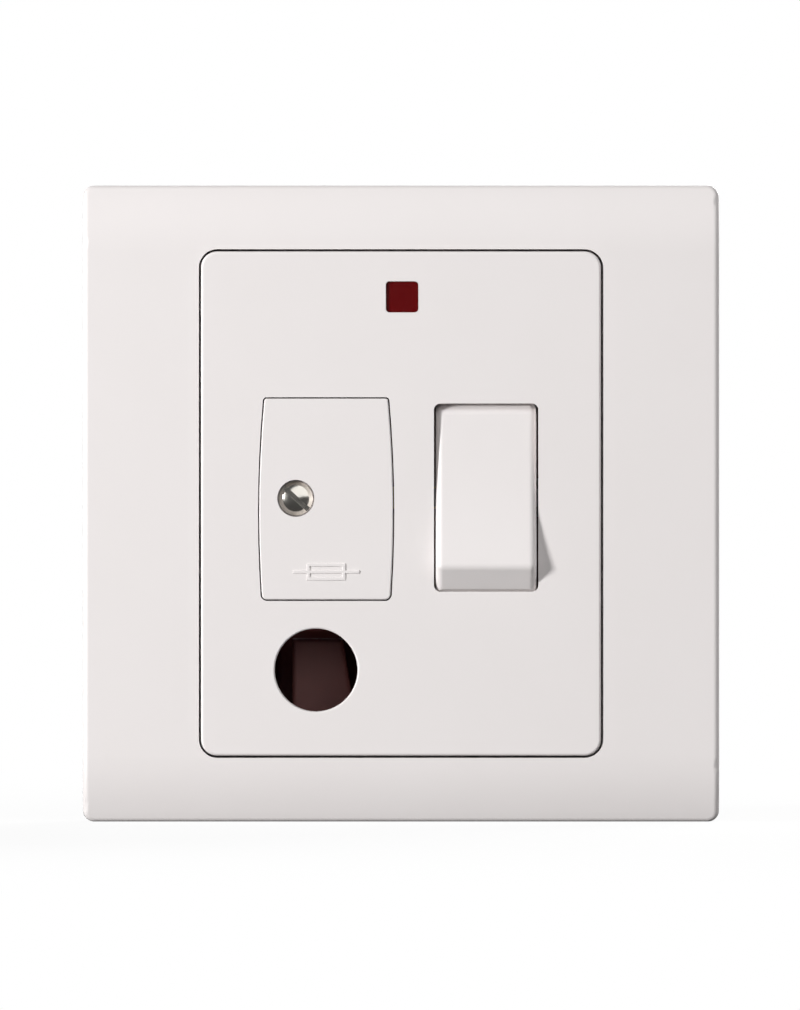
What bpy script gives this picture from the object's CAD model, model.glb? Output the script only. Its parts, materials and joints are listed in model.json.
# %% [markdown]
# # A fused spur unit
# This is an 86 mm wall plate that feeds one appliance through its own fuse. It has a red indicator, a
# rocker switch, a fuse carrier held by one screw, and a round outlet for the appliance's cord. The solids
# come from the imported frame, already at their real size and place, so this lesson is about their finish,
# the few pieces that are too fine for the solids, and the light.

# %% Load the frame
import json
import math

import bmesh
import bpy
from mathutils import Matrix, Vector


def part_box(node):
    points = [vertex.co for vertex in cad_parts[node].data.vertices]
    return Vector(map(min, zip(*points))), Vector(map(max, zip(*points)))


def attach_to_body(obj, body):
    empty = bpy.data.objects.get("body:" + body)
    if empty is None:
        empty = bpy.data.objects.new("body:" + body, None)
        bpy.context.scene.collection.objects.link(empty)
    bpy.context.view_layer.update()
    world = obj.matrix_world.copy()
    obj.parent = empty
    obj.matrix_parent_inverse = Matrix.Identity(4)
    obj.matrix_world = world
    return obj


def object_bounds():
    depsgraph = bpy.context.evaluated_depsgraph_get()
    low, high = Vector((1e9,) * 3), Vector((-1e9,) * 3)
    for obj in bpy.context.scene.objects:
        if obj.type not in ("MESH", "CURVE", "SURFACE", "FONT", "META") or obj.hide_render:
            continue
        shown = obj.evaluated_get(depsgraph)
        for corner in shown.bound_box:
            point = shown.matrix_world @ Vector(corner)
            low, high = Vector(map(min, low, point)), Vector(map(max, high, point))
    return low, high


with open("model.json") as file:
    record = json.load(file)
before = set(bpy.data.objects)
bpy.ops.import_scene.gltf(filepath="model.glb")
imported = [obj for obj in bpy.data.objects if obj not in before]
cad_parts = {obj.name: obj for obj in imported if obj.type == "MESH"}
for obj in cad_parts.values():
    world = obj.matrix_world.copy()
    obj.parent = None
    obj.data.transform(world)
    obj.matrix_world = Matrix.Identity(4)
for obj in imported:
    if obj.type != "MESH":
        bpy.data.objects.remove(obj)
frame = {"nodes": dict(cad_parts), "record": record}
solid_low, solid_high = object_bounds()
NODES = frame["nodes"]
MM = 0.001
print(len(NODES), "solids, overall size in mm:", [round(side / MM, 2) for side in solid_high - solid_low])

# %% [markdown]
# ## Where things are
# Every place is read from the frame and not typed again: a solid's box gives its faces and its middle. The
# front of the plate looks towards -Y, X runs to the right and Z runs up.

# %% Measure the solids


def middle(node):
    low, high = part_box(node)
    return (low + high) / 2


plate_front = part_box("front_frame")[0].y
plate_middle = middle("front_frame")
print("plate middle in mm:", [round(value / MM, 2) for value in plate_middle])

# %% [markdown]
# ## Colours
# A colour is picked by eye in the 0 to 255 numbers of a paint program. The shader works with light, so the
# numbers are turned into linear ones first, with the formula that the sRGB standard gives. Skipping this
# step makes every colour too pale.

# %% Colours


def paint(red, green, blue):
    """A screen colour as the linear colour that a shader uses."""
    linear = []
    for value in (red, green, blue):
        share = value / 255
        linear.append(share / 12.92 if share <= 0.04045 else ((share + 0.055) / 1.055) ** 2.4)
    return (*linear, 1.0)


WHITE_PLASTIC = paint(237, 232, 231)
WHITE_SHADE = paint(229, 223, 221)
BROWN_PLASTIC = paint(132, 87, 84)
BROWN_SHADE = paint(106, 68, 65)
RED_PLASTIC = paint(132, 2, 8)
RED_SHADE = paint(108, 2, 8)
CERAMIC = paint(236, 232, 222)
CERAMIC_SHADE = paint(216, 208, 192)
FIBRE = paint(150, 62, 44)
FIBRE_SHADE = paint(112, 40, 28)
CLEAR_GLASS = paint(250, 246, 240)
BRASS = paint(226, 190, 116)
BRASS_TARNISH = paint(168, 122, 66)
SILVER = paint(236, 234, 228)
SILVER_TARNISH = paint(188, 182, 168)
BARE_STEEL = paint(186, 186, 188)
STEEL_TARNISH = paint(120, 112, 104)
NICKEL = paint(226, 222, 214)
NICKEL_TARNISH = paint(176, 170, 160)
CAP_NICKEL = paint(222, 216, 204)
CAP_TARNISH = paint(170, 160, 142)
TIN = paint(214, 214, 210)
TIN_TARNISH = paint(160, 160, 156)
print("white plastic reflects", round(WHITE_PLASTIC[0], 3), "of the red light")

# %% [markdown]
# ## Building materials from nodes
# Each finish below is a small network of shader nodes. A few helpers keep them short. The first makes a
# material, remembers it by its name as a finish, and hands back its network and its main shader. The second
# makes a node group, which is a network with its own sockets that several materials can share. Two small
# ones add a node and give a socket its value, and the last four use them: each adds one kind of node and
# hands back its output. A mix node has sockets with the same names for numbers and for colours, so its
# colour sockets are picked by their place in its list.

# %% Helpers for materials
MIX_FIRST_COLOUR = 6
MIX_SECOND_COLOUR = 7
MIX_COLOUR_RESULT = 2
FINISHES = {}


def new_finish(name):
    made = bpy.data.materials.new(name)
    made.use_nodes = True
    FINISHES[name] = made
    return made.node_tree, made.node_tree.nodes["Principled BSDF"]


def new_group(name, inputs, outputs):
    """An empty node group, with its input and output nodes."""
    group = bpy.data.node_groups.new(name, "ShaderNodeTree")
    for label, kind in inputs:
        group.interface.new_socket(name=label, in_out="INPUT", socket_type="NodeSocket" + kind)
    for label, kind in outputs:
        group.interface.new_socket(name=label, in_out="OUTPUT", socket_type="NodeSocket" + kind)
    return group, group.nodes.new("NodeGroupInput"), group.nodes.new("NodeGroupOutput")


def add_node(tree, kind, **settings):
    node = tree.nodes.new(kind)
    for key, value in settings.items():
        setattr(node, key, value)
    return node


def feed(tree, socket, value):
    """Gives a socket its value: another node's output, or a number or colour."""
    if isinstance(value, bpy.types.NodeSocket):
        tree.links.new(value, socket)
    else:
        socket.default_value = value


def noise(tree, position, size, detail=2.0):
    """A soft random pattern whose blobs are about size metres across."""
    node = add_node(tree, "ShaderNodeTexNoise")
    node.inputs["Scale"].default_value = 1 / size
    node.inputs["Detail"].default_value = detail
    tree.links.new(position, node.inputs["Vector"])
    return node.outputs["Fac"]


def arithmetic(tree, operation, first, second):
    """A sum, product or maximum of two values."""
    node = add_node(tree, "ShaderNodeMath", operation=operation)
    feed(tree, node.inputs[0], first)
    feed(tree, node.inputs[1], second)
    return node.outputs[0]


def blend_colours(tree, share, first, second):
    """Mixes two colours by a share."""
    node = add_node(tree, "ShaderNodeMix", data_type="RGBA")
    feed(tree, node.inputs["Factor"], share)
    feed(tree, node.inputs[MIX_FIRST_COLOUR], first)
    feed(tree, node.inputs[MIX_SECOND_COLOUR], second)
    return node.outputs[MIX_COLOUR_RESULT]


def stretch(tree, value, start, end, low=0.0, high=1.0, curve="LINEAR"):
    """Turns the range from start to end into the range from low to high."""
    node = add_node(tree, "ShaderNodeMapRange", interpolation_type=curve)
    feed(tree, node.inputs["Value"], value)
    for label, number in (("From Min", start), ("From Max", end), ("To Min", low), ("To Max", high)):
        node.inputs[label].default_value = number
    return node.outputs["Result"]


print("helpers are ready")

# %% [markdown]
# ## The skin of a moulded part
# Plastic pressed in a polished steel mould is smooth, but never perfect: its colour has faint clouds a
# centimetre across, and its surface has a shallow waviness, like the peel of an orange, that only shows
# where it mirrors a light. Painting clouds on by hand would repeat visibly, so three noise patterns of
# different size do it. The white, brown, red, fibre and ceramic parts all share this group, each with its
# own amounts.

# %% Group: moulded skin
CLOUD_SIZE = 11 * MM
CLOUD_DETAIL = 3.0
PEEL_SIZE = 1.6 * MM
GRAIN_SIZE = 0.12 * MM
GRAIN_SHARE = 0.15


def build_moulded_skin():
    group, enter, leave = new_group(
        "moulded_skin",
        [("Position", "Vector"), ("Color", "Color"), ("Shade Color", "Color"), ("Clouding", "Float"),
         ("Roughness", "Float"), ("Roughness Swing", "Float")],
        [("Color", "Color"), ("Roughness", "Float"), ("Height", "Float")])
    position = enter.outputs["Position"]
    clouds = noise(group, position, CLOUD_SIZE, CLOUD_DETAIL)
    share = arithmetic(group, "MULTIPLY", clouds, enter.outputs["Clouding"])
    colour = blend_colours(group, share, enter.outputs["Color"], enter.outputs["Shade Color"])
    peel = noise(group, position, PEEL_SIZE)
    grain = noise(group, position, GRAIN_SIZE)
    swing = arithmetic(group, "MULTIPLY", peel, enter.outputs["Roughness Swing"])
    roughness = arithmetic(group, "ADD", swing, enter.outputs["Roughness"])
    height = arithmetic(group, "ADD", peel, arithmetic(group, "MULTIPLY", grain, GRAIN_SHARE))
    group.links.new(colour, leave.inputs["Color"])
    group.links.new(roughness, leave.inputs["Roughness"])
    group.links.new(height, leave.inputs["Height"])
    return group


MOULDED_SKIN = build_moulded_skin()
print("group moulded_skin:", len(MOULDED_SKIN.nodes), "nodes")

# %% [markdown]
# ## The skin of a metal part
# Turned, stamped and plated metal differs in colour and polish, but ages alike: a thin tarnish in patches,
# and fine marks from the barrel in which small parts are tumbled. The marks are a noise pattern squeezed in
# one direction, so that its blobs become short strokes.

# %% Group: metal skin
TARNISH_SIZE = 2.4 * MM
TARNISH_DETAIL = 4.0
MARK_SIZE = 0.35 * MM
MARK_DETAIL = 3.0
MARK_SQUEEZE = (1.0, 6.0, 0.35)


def build_metal_skin():
    group, enter, leave = new_group(
        "metal_skin",
        [("Position", "Vector"), ("Color", "Color"), ("Tarnish Color", "Color"), ("Tarnish", "Float"),
         ("Roughness", "Float"), ("Roughness Swing", "Float")],
        [("Color", "Color"), ("Roughness", "Float"), ("Height", "Float")])
    position = enter.outputs["Position"]
    patches = noise(group, position, TARNISH_SIZE, TARNISH_DETAIL)
    squeezed = add_node(group, "ShaderNodeVectorMath", operation="MULTIPLY")
    squeezed.inputs[1].default_value = MARK_SQUEEZE
    group.links.new(position, squeezed.inputs[0])
    marks = noise(group, squeezed.outputs["Vector"], MARK_SIZE, MARK_DETAIL)
    share = arithmetic(group, "MULTIPLY", patches, enter.outputs["Tarnish"])
    colour = blend_colours(group, share, enter.outputs["Color"], enter.outputs["Tarnish Color"])
    swing = arithmetic(group, "MULTIPLY", marks, enter.outputs["Roughness Swing"])
    roughness = arithmetic(group, "ADD", swing, enter.outputs["Roughness"])
    group.links.new(colour, leave.inputs["Color"])
    group.links.new(roughness, leave.inputs["Roughness"])
    group.links.new(marks, leave.inputs["Height"])
    return group


METAL_SKIN = build_metal_skin()
print("group metal_skin:", len(METAL_SKIN.nodes), "nodes")

# %% [markdown]
# ## Putting a skin on a shader
# The group's colour and roughness go straight to the shader. Its height goes through a bump node, whose
# distance is the real depth of the waviness: a few thousandths of a millimetre on plastic.

# %% Helpers: use a skin


def use_skin(name, skin, values, bump_depth):
    """Makes a finish from a skin group, and hands back its shader."""
    tree, shader = new_finish(name)
    place = add_node(tree, "ShaderNodeTexCoord")
    inside = add_node(tree, "ShaderNodeGroup", node_tree=skin)
    tree.links.new(place.outputs["Object"], inside.inputs["Position"])
    for label, value in values.items():
        inside.inputs[label].default_value = value
    tree.links.new(inside.outputs["Color"], shader.inputs["Base Color"])
    tree.links.new(inside.outputs["Roughness"], shader.inputs["Roughness"])
    bump = add_node(tree, "ShaderNodeBump")
    bump.inputs["Distance"].default_value = bump_depth
    tree.links.new(inside.outputs["Height"], bump.inputs["Height"])
    tree.links.new(bump.outputs["Normal"], shader.inputs["Normal"])
    return shader


def moulded(name, colour, shade, clouding, roughness, swing, depth):
    values = {"Color": colour, "Shade Color": shade, "Clouding": clouding, "Roughness": roughness,
              "Roughness Swing": swing}
    return use_skin(name, MOULDED_SKIN, values, depth)


def metal(name, colour, tarnish_colour, tarnish, roughness, swing, depth):
    values = {"Color": colour, "Tarnish Color": tarnish_colour, "Tarnish": tarnish, "Roughness": roughness,
              "Roughness Swing": swing}
    shader = use_skin(name, METAL_SKIN, values, depth)
    shader.inputs["Metallic"].default_value = 1.0
    return shader


print("helpers for skins are ready")

# %% [markdown]
# ## White and brown mouldings
# The frame, panel, rocker and fuse carrier are white urea, a hard plastic with a soft gloss. The housing
# behind them, its cord clamp and the switch's plungers are brown phenolic mouldings, which are duller
# because their moulds aren't polished.

# %% Finishes: white and brown mouldings
white_shader = moulded("white_moulding", WHITE_PLASTIC, WHITE_SHADE, clouding=0.35, roughness=0.37,
                       swing=0.08, depth=0.004 * MM)
white_shader.inputs["IOR"].default_value = 1.5
moulded("brown_moulding", BROWN_PLASTIC, BROWN_SHADE, clouding=0.8, roughness=0.46, swing=0.16,
        depth=0.012 * MM)
print("white and brown mouldings are ready")

# %% [markdown]
# ## The red lens
# The indicator's window is clear red plastic. With the lamp off it is a deep red, because little light
# comes back from the dark housing behind it. About half of the light goes through the plastic, so part of
# the look comes from the solids behind it and not from a painted gradient. The surface mirrors very little:
# a normal gloss would lay a pale veil over such a dark red.

# %% Finish: red lens
LENS_CLEARNESS = 0.55
lens_shader = moulded("red_lens", RED_PLASTIC, RED_SHADE, clouding=0.3, roughness=0.12, swing=0.06,
                      depth=0.002 * MM)
lens_shader.inputs["IOR"].default_value = 1.49
lens_shader.inputs["Transmission Weight"].default_value = LENS_CLEARNESS
lens_shader.inputs["Specular IOR Level"].default_value = 0.1
print("red lens lets through", LENS_CLEARNESS, "of the light")

# %% [markdown]
# ## Metals
# The terminals with their screws, the fuse clips and the contact strips are plain brass. The other screws
# and the fuse's caps are nickel plated, the contact tips are silver, the springs are bare steel wire and
# the lamp's leads are tinned copper. One recipe with other numbers makes each.

# %% Finishes: metals
metal("brass", BRASS, BRASS_TARNISH, tarnish=0.7, roughness=0.2, swing=0.22, depth=0.006 * MM)
metal("silver", SILVER, SILVER_TARNISH, tarnish=0.4, roughness=0.22, swing=0.2, depth=0.004 * MM)
metal("spring_steel", BARE_STEEL, STEEL_TARNISH, tarnish=0.6, roughness=0.28, swing=0.2, depth=0.003 * MM)
metal("plated_steel", NICKEL, NICKEL_TARNISH, tarnish=0.3, roughness=0.1, swing=0.12, depth=0.002 * MM)
metal("nickel_caps", CAP_NICKEL, CAP_TARNISH, tarnish=0.5, roughness=0.16, swing=0.16, depth=0.003 * MM)
metal("tinned_wire", TIN, TIN_TARNISH, tarnish=0.5, roughness=0.3, swing=0.2, depth=0.004 * MM)
print("metals are ready")

# %% [markdown]
# ## Ceramic, fibre and glass
# The fuse's tube is unglazed white ceramic, faintly sandy. The captive washer is vulcanised red fibre. The
# lamp's bulb is clear glass, which needs no skin: the main shader's own sockets are enough.

# %% Finishes: ceramic, fibre and glass
moulded("fuse_ceramic", CERAMIC, CERAMIC_SHADE, clouding=0.8, roughness=0.55, swing=0.2, depth=0.02 * MM)
moulded("fibre_washer", FIBRE, FIBRE_SHADE, clouding=1.0, roughness=0.6, swing=0.2, depth=0.03 * MM)
_, glass_shader = new_finish("lamp_glass")
glass_shader.inputs["Base Color"].default_value = CLEAR_GLASS
glass_shader.inputs["Roughness"].default_value = 0.02
glass_shader.inputs["IOR"].default_value = 1.47
glass_shader.inputs["Transmission Weight"].default_value = 1.0
print("ceramic, fibre and glass are ready")

# %% [markdown]
# ## The resistor's bands
# A resistor tells its value by rings of paint. The rings follow the body's length, so the place along X
# picks the colour: a ramp with sharp steps holds one stop for each ring and one for each stretch of bare
# lacquer.

# %% Finish: resistor
RESISTOR_LACQUER = paint(214, 186, 140)
RING_COLOURS = [paint(70, 96, 168), paint(120, 120, 124), paint(240, 200, 60), paint(196, 160, 80)]
RING_CENTRES = (0.2, 0.36, 0.52, 0.78)
RING_HALF_WIDTH = 0.045


def build_resistor_paint():
    tree, shader = new_finish("resistor_body")
    low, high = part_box("neon_resistor")
    place = add_node(tree, "ShaderNodeTexCoord")
    axes = add_node(tree, "ShaderNodeSeparateXYZ")
    tree.links.new(place.outputs["Object"], axes.inputs["Vector"])
    ramp = add_node(tree, "ShaderNodeValToRGB")
    tree.links.new(stretch(tree, axes.outputs["X"], low.x, high.x), ramp.inputs["Fac"])
    ramp.color_ramp.interpolation = "CONSTANT"
    stops = ramp.color_ramp.elements
    stops.remove(stops[1])
    stops[0].color = RESISTOR_LACQUER
    for centre, colour in zip(RING_CENTRES, RING_COLOURS):
        stops.new(centre - RING_HALF_WIDTH).color = colour
        stops.new(centre + RING_HALF_WIDTH).color = RESISTOR_LACQUER
    tree.links.new(ramp.outputs["Color"], shader.inputs["Base Color"])
    shader.inputs["Roughness"].default_value = 0.35


build_resistor_paint()
print("resistor has", len(RING_COLOURS), "rings")

# %% [markdown]
# ## Dressing the solids
# The record says which finish each solid has, so one loop gives every solid its material.

# %% Give each solid its finish
finish_of = {subpart["node"]: subpart["material_slot"] for subpart in frame["record"]["subparts"]}
for name, solid in NODES.items():
    solid.data.materials.clear()
    solid.data.materials.append(FINISHES[finish_of[name]])
print("dressed", len(NODES), "solids in", len(FINISHES), "finishes")

# %% [markdown]
# ## Pieces that the solids leave out
# The raised sign and the threads below are built corner by corner in a mesh editor called bmesh. One helper
# turns such a mesh into an object. A second one makes it a piece of the part: it gives it a finish and lets
# it ride on a body, so that it moves when the body's joint moves.

# %% Helpers for pieces


def new_object(name, mesh):
    data = bpy.data.meshes.new(name)
    mesh.to_mesh(data)
    mesh.free()
    made = bpy.data.objects.new(name, data)
    bpy.context.scene.collection.objects.link(made)
    return made


def attach(piece, body, slot):
    piece.data.materials.append(FINISHES[slot])
    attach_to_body(piece, body)


print("helpers for pieces are ready")

# %% [markdown]
# ## The mark on the fuse carrier
# The carrier's lower part has a raised mark. Here it is the plain sign for a fuse: a narrow box with a line
# through it. Drawn with curves, the line and the box would overlap inside each other. Instead the sign is
# laid out on a small grid, only the cells that are part of it are kept, and the flat shape is pulled up
# from the plate and its upper edges are rounded, so it is one clean skin.

# %% Piece: raised fuse sign
SIGN_WIDTH = 9.0 * MM
SIGN_BOX_WIDTH = 5.2 * MM
SIGN_BOX_HEIGHT = 2.3 * MM
SIGN_STROKE = 0.42 * MM
SIGN_HEIGHT = 0.14 * MM
SIGN_SUNK = 0.05 * MM
SIGN_ROUNDING = 0.07 * MM
SIGN_ROUNDING_STEPS = 3
ROUND_PROFILE = 0.5
SIGN_ABOVE_CARRIER_FOOT = 3.75 * MM
SIGN_PICTURE = (
    " ### ",
    " # # ",
    "#####",
    " # # ",
    " ### ",
)
CELL_CORNERS = ((0, 0), (1, 0), (1, 1), (0, 1))
SAME_HEIGHT = 1e-9
SHARP_ANGLE = math.radians(30)


def sign_grid():
    """Where the grid's columns and rows lie along X and Z."""
    half_box, half_sign = SIGN_BOX_WIDTH / 2, SIGN_WIDTH / 2
    half_height, half_stroke = SIGN_BOX_HEIGHT / 2, SIGN_STROKE / 2
    columns = [-half_sign, -half_box, -half_box + SIGN_STROKE, half_box - SIGN_STROKE, half_box, half_sign]
    rows = [-half_height, -half_height + SIGN_STROKE, -half_stroke, half_stroke,
            half_height - SIGN_STROKE, half_height]
    return columns, rows


def sign_cells():
    """The squares that are filled in the picture, each as the keys of its four corners."""
    cells = []
    for column in range(len(SIGN_PICTURE[0])):
        for row in range(len(SIGN_PICTURE)):
            if SIGN_PICTURE[row][column] == "#":
                cells.append([(column + i, row + j) for i, j in CELL_CORNERS])
    return cells


def make_fuse_sign():
    columns, rows = sign_grid()
    mesh = bmesh.new()
    corners = {}
    for cell in sign_cells():
        for key in cell:
            if key not in corners:
                corners[key] = mesh.verts.new((columns[key[0]], 0, rows[key[1]]))
    for cell in sign_cells():
        mesh.faces.new([corners[key] for key in cell])
    raised = bmesh.ops.extrude_face_region(mesh, geom=mesh.faces[:])["geom"]
    moved = [item for item in raised if isinstance(item, bmesh.types.BMVert)]
    bmesh.ops.translate(mesh, verts=moved, vec=(0, -(SIGN_HEIGHT + SIGN_SUNK), 0))
    bmesh.ops.recalc_face_normals(mesh, faces=mesh.faces[:])
    top = min(vert.co.y for vert in mesh.verts)
    rim = []
    for edge in mesh.edges:
        at_top = all(abs(vert.co.y - top) < SAME_HEIGHT for vert in edge.verts)
        if at_top and edge.calc_face_angle(0) > SHARP_ANGLE:
            rim.append(edge)
    bmesh.ops.bevel(mesh, geom=rim, offset=SIGN_ROUNDING, segments=SIGN_ROUNDING_STEPS,
                    profile=ROUND_PROFILE, affect="EDGES")
    sign = new_object("fuse_sign", mesh)
    carrier_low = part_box("fuse_carrier")[0]
    sign.location = (middle("fuse_carrier").x, carrier_low.y + SIGN_SUNK,
                     carrier_low.z + SIGN_ABOVE_CARRIER_FOOT)
    attach(sign, "fuse_carrier", "white_moulding")
    return sign


fuse_sign = make_fuse_sign()
print("fuse sign:", len(fuse_sign.data.polygons), "faces")

# %% [markdown]
# ## The screws' threads
# The solids leave each screw's shank plain, because its thread is too fine for them. A thread is a ridge
# that winds around the shank. It could be a texture, but a real ridge also shows in the outline when a
# screw is driven out. One function walks along the winding and places a three-cornered section at every
# step, and the ridge runs out at both ends, as a rolled thread does. It stands no further out than the
# screw's running gap.

# %% Helper: a thread
STEPS_A_TURN = 24
RUN_OUT_TURNS = 0.75
THREAD_SUNK = 0.05 * MM


def make_thread(name, body, slot, centre, ends, radius, proud, pitch):
    """A ridge around the Y axis through centre, from one end to the other, that rides on a body."""
    start, end = ends
    steps = int((end - start) / pitch * STEPS_A_TURN)
    run_out = RUN_OUT_TURNS * STEPS_A_TURN
    mesh = bmesh.new()
    sections = []
    for step in range(steps + 1):
        turn = 2 * math.pi * step / STEPS_A_TURN
        along = start + pitch * step / STEPS_A_TURN
        share = min(1, step / run_out, (steps - step) / run_out)
        section = []
        for offset, out in ((-pitch / 2, -THREAD_SUNK), (0, proud * share), (pitch / 2, -THREAD_SUNK)):
            reach = radius + out
            section.append(mesh.verts.new((centre.x + reach * math.cos(turn), along + offset,
                                           centre.z + reach * math.sin(turn))))
        sections.append(section)
    for first, second in zip(sections, sections[1:]):
        for i in range(3):
            j = (i + 1) % 3
            mesh.faces.new((first[i], first[j], second[j], second[i]))
    mesh.faces.new(sections[0])
    mesh.faces.new(sections[-1])
    bmesh.ops.recalc_face_normals(mesh, faces=mesh.faces[:])
    thread = new_object(name, mesh)
    attach(thread, body, slot)
    return len(thread.data.polygons)


print("each turn of a thread takes", STEPS_A_TURN, "steps")

# %% [markdown]
# The carrier screw is a 3 mm one, and its thread starts behind the washer that holds it captive. The
# terminals have 3.5 mm screws. A screw's own box gives its axis and its tip, and the depth of its head is
# taken off the other end. The two clamp screws share a node, so each one's axis is half a head in from the
# side of their box.

# %% Pieces: threads
CARRIER_THREAD = {"radius": 1.5 * MM, "proud": 0.035 * MM, "pitch": 0.5 * MM}
TERMINAL_THREAD = {"radius": 1.75 * MM, "proud": 0.06 * MM, "pitch": 0.6 * MM}
CLAMP_THREAD = {"radius": 1.25 * MM, "proud": 0.04 * MM, "pitch": 0.9 * MM}
TERMINAL_HEAD_DEPTH = 2.6 * MM
CLAMP_HEAD_DEPTH = 2.2 * MM
TIP_LENGTH = 0.9 * MM
TERMINALS = ("live_supply", "neutral_supply", "live_load", "earth_left", "earth_right", "neutral_load")

neck_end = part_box("captive_washer")[1].y + CARRIER_THREAD["pitch"]
carrier_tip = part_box("carrier_screw")[1].y
thread_faces = make_thread("carrier_screw_thread", "carrier_screw", "plated_steel", middle("carrier_screw"),
                           (neck_end, carrier_tip - TIP_LENGTH), **CARRIER_THREAD)
for terminal in TERMINALS:
    screw = terminal + "_screw"
    screw_low, screw_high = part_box(screw)
    thread_faces += make_thread(screw + "_thread", screw, "brass", middle(screw),
                                (screw_low.y + TIP_LENGTH, screw_high.y - TERMINAL_HEAD_DEPTH),
                                **TERMINAL_THREAD)
screw_low, screw_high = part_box("cord_clamp_screws")
half_head = (screw_high.z - screw_low.z) / 2
for side, x in (("left", screw_low.x + half_head), ("right", screw_high.x - half_head)):
    centre = Vector((x, 0, middle("cord_clamp_screws").z))
    thread_faces += make_thread("clamp_screw_thread_" + side, "cord_clamp", "plated_steel", centre,
                                (screw_low.y + TIP_LENGTH, screw_high.y - CLAMP_HEAD_DEPTH), **CLAMP_THREAD)
print("threads:", thread_faces, "faces")

# %% [markdown]
# ## What counts as background
# The floor and the room have two jobs that don't go together: they light the object softly, and they have
# to look pure white in the picture. Light Path solves it. It tells a shader which rays come from the camera
# or by way of metal and glass, and only those see the white. Metal mirrors the white only behind the plate,
# which leaves the lower half of a domed screw dark, as in the photograph. The light that floor and room
# throw back on the object stays plain.

# %% Helper: seen as background


def seen_as_background(tree, place, start, end):
    """1 for camera rays, and for rays by way of metal or glass whose place along Y is behind the plate."""
    axes = add_node(tree, "ShaderNodeSeparateXYZ")
    tree.links.new(place, axes.inputs["Vector"])
    behind = stretch(tree, axes.outputs["Y"], start, end, curve="SMOOTHSTEP")
    path = add_node(tree, "ShaderNodeLightPath")
    shiny = arithmetic(tree, "MAXIMUM", path.outputs["Is Glossy Ray"], path.outputs["Is Transmission Ray"])
    shiny = arithmetic(tree, "MULTIPLY", shiny, behind)
    return arithmetic(tree, "MAXIMUM", path.outputs["Is Camera Ray"], shiny)


print("helper for the background is ready")

# %% [markdown]
# ## The floor
# The floor is plain and pale. Close to the object it is a matt surface that takes the object's shadow,
# lifted by a glow that only the background rays see, and further out it fades to pure white, so that no
# horizon shows.

# %% Floor, with lengths in metres
FLOOR_RADIUS = 1.6
FLOOR_SEGMENTS = 96
FLOOR_SHADE = 0.12
FLOOR_LIFT = 0.9
FADE_START = 0.10
FADE_END = 0.30
FLOOR_BEHIND_START = 0.0
FLOOR_BEHIND_END = 0.08


def make_floor():
    mesh = bmesh.new()
    bmesh.ops.create_circle(mesh, cap_ends=True, segments=FLOOR_SEGMENTS, radius=FLOOR_RADIUS)
    made = new_object("floor", mesh)
    made.location = (0, 0, solid_low.z)
    return made


def make_floor_material():
    made = bpy.data.materials.new("pale_floor")
    made.use_nodes = True
    tree = made.node_tree
    tree.nodes.clear()
    matt = add_node(tree, "ShaderNodeBsdfDiffuse")
    matt.inputs["Color"].default_value = (FLOOR_SHADE, FLOOR_SHADE, FLOOR_SHADE, 1)
    glow = add_node(tree, "ShaderNodeEmission")
    lit = add_node(tree, "ShaderNodeAddShader")
    white = add_node(tree, "ShaderNodeEmission")
    mixed = add_node(tree, "ShaderNodeMixShader")
    out = add_node(tree, "ShaderNodeOutputMaterial")
    place = add_node(tree, "ShaderNodeTexCoord").outputs["Object"]
    seen = seen_as_background(tree, place, FLOOR_BEHIND_START, FLOOR_BEHIND_END)
    tree.links.new(arithmetic(tree, "MULTIPLY", seen, FLOOR_LIFT), glow.inputs["Strength"])
    tree.links.new(matt.outputs[0], lit.inputs[0])
    tree.links.new(glow.outputs[0], lit.inputs[1])
    reach = add_node(tree, "ShaderNodeVectorMath", operation="LENGTH")
    tree.links.new(place, reach.inputs[0])
    fade = stretch(tree, reach.outputs["Value"], FADE_START, FADE_END, curve="SMOOTHSTEP")
    tree.links.new(arithmetic(tree, "MULTIPLY", fade, seen), mixed.inputs["Fac"])
    tree.links.new(lit.outputs[0], mixed.inputs[1])
    tree.links.new(white.outputs[0], mixed.inputs[2])
    tree.links.new(mixed.outputs[0], out.inputs["Surface"])
    return made


floor = make_floor()
floor.data.materials.append(make_floor_material())
print("floor level in mm:", round(solid_low.z / MM, 2))

# %% [markdown]
# ## The room
# The world stands for the room around the table: a soft grey that is a little lighter overhead, and white
# for the background rays. Here a place is a direction, so its Y says how far a ray goes backwards and its Z
# how far it goes up.

# %% World
ROOM_LOW = 0.04
ROOM_HIGH = 0.12
ROOM_BEHIND_START = -0.1
ROOM_BEHIND_END = 0.3
STRAIGHT_DOWN = -1.0
STRAIGHT_UP = 1.0
WHITE = (1, 1, 1, 1)


def build_world():
    world = bpy.data.worlds.new("room")
    bpy.context.scene.world = world
    world.use_nodes = True
    tree = world.node_tree
    tree.nodes.clear()
    direction = add_node(tree, "ShaderNodeTexCoord").outputs["Generated"]
    seen = seen_as_background(tree, direction, ROOM_BEHIND_START, ROOM_BEHIND_END)
    axes = add_node(tree, "ShaderNodeSeparateXYZ")
    tree.links.new(direction, axes.inputs["Vector"])
    strength = stretch(tree, axes.outputs["Z"], STRAIGHT_DOWN, STRAIGHT_UP, ROOM_LOW, ROOM_HIGH)
    room = add_node(tree, "ShaderNodeBackground")
    room.inputs["Color"].default_value = WHITE
    tree.links.new(strength, room.inputs["Strength"])
    white = add_node(tree, "ShaderNodeBackground")
    white.inputs["Color"].default_value = WHITE
    mixed = add_node(tree, "ShaderNodeMixShader")
    out = add_node(tree, "ShaderNodeOutputWorld")
    tree.links.new(seen, mixed.inputs["Fac"])
    tree.links.new(room.outputs[0], mixed.inputs[1])
    tree.links.new(white.outputs[0], mixed.inputs[2])
    tree.links.new(mixed.outputs[0], out.inputs["Surface"])


build_world()
print("room light from", ROOM_LOW, "to", ROOM_HIGH)

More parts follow.
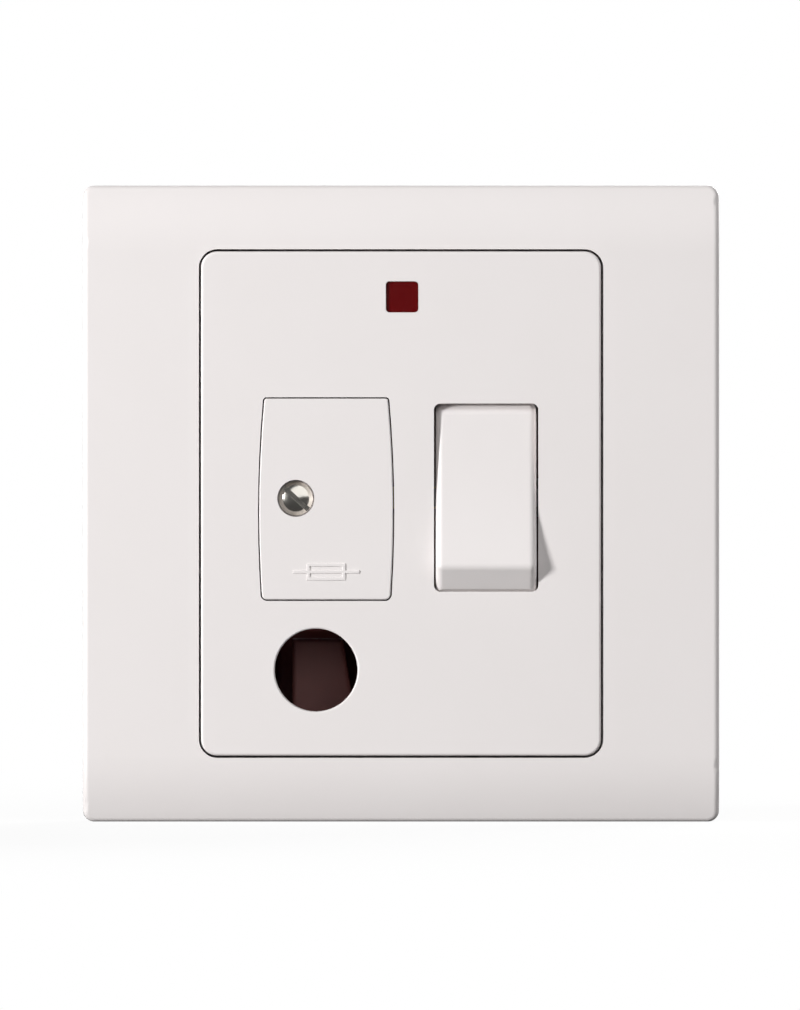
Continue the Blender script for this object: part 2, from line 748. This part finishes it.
# %% [markdown]
# ## The lamps
# Two soft boxes light the front. A small one stands low on the left and throws the rocker's shadow to the
# right. A wide one hangs at the upper right: it makes faces that lean up brighter than faces that lean
# down, keeps the right-hand edges from going dark and is what the domed screw mirrors. A third lights the
# back for the other views. A lamp's power follows from the brightness it should give: a white card at the
# object that faces a lamp of level 1 comes out just white, at any distance.

# %% Lamps, with lengths in metres


def soft_box(name, left_of_front, height_angle, distance, size, level):
    """An area lamp aimed at the plate, placed by its angle left of the camera and above the table."""
    turn, rise = math.radians(left_of_front), math.radians(height_angle)
    towards = Vector((-math.sin(turn) * math.cos(rise), -math.cos(turn) * math.cos(rise), math.sin(rise)))
    data = bpy.data.lights.new(name, "AREA")
    data.shape = "RECTANGLE"
    data.size, data.size_y = size
    data.energy = level * (math.pi * distance) ** 2
    lamp = bpy.data.objects.new(name, data)
    bpy.context.scene.collection.objects.link(lamp)
    lamp.location = plate_middle + towards * distance
    lamp.rotation_euler = (-towards).to_track_quat("-Z", "Y").to_euler()


soft_box("left_box", left_of_front=54, height_angle=6, distance=1.05, size=(0.19, 0.11), level=1.09)
soft_box("right_box", left_of_front=-36, height_angle=28, distance=0.9, size=(1.9, 0.7), level=0.6)
soft_box("back_box", left_of_front=205, height_angle=22, distance=1.0, size=(0.6, 0.5), level=0.9)
print("three soft boxes")

# %% [markdown]
# ## The camera
# The photograph looks straight at the plate from far away, so lines that run away from the camera hardly
# meet. A long lens at 1.6 m gives the same view. The lens is worked out so that the picture is as many
# millimetres tall, at the plate's face, as the photograph.

# %% Camera
PICTURE_HEIGHT = 136.4 * MM
PLATE_RIGHT_OF_MIDDLE = 0.13 * MM
PLATE_ABOVE_MIDDLE = 0.2 * MM
CAMERA_DISTANCE = 1.6
NEAREST_SEEN = 0.1
FURTHEST_SEEN = 10
SENSOR_MM = 36.0


def make_camera():
    data = bpy.data.cameras.new("camera")
    data.sensor_width = SENSOR_MM
    data.lens = SENSOR_MM * CAMERA_DISTANCE / PICTURE_HEIGHT
    data.clip_start = NEAREST_SEEN
    data.clip_end = FURTHEST_SEEN
    made = bpy.data.objects.new("camera", data)
    bpy.context.scene.collection.objects.link(made)
    made.location = (plate_middle.x - PLATE_RIGHT_OF_MIDDLE, plate_front - CAMERA_DISTANCE,
                     plate_middle.z - PLATE_ABOVE_MIDDLE)
    made.rotation_euler = (math.radians(90), 0, 0)
    bpy.context.scene.camera = made
    return made


camera = make_camera()
bpy.context.scene.view_settings.view_transform = "Standard"
print("lens in mm:", round(camera.data.lens, 1))
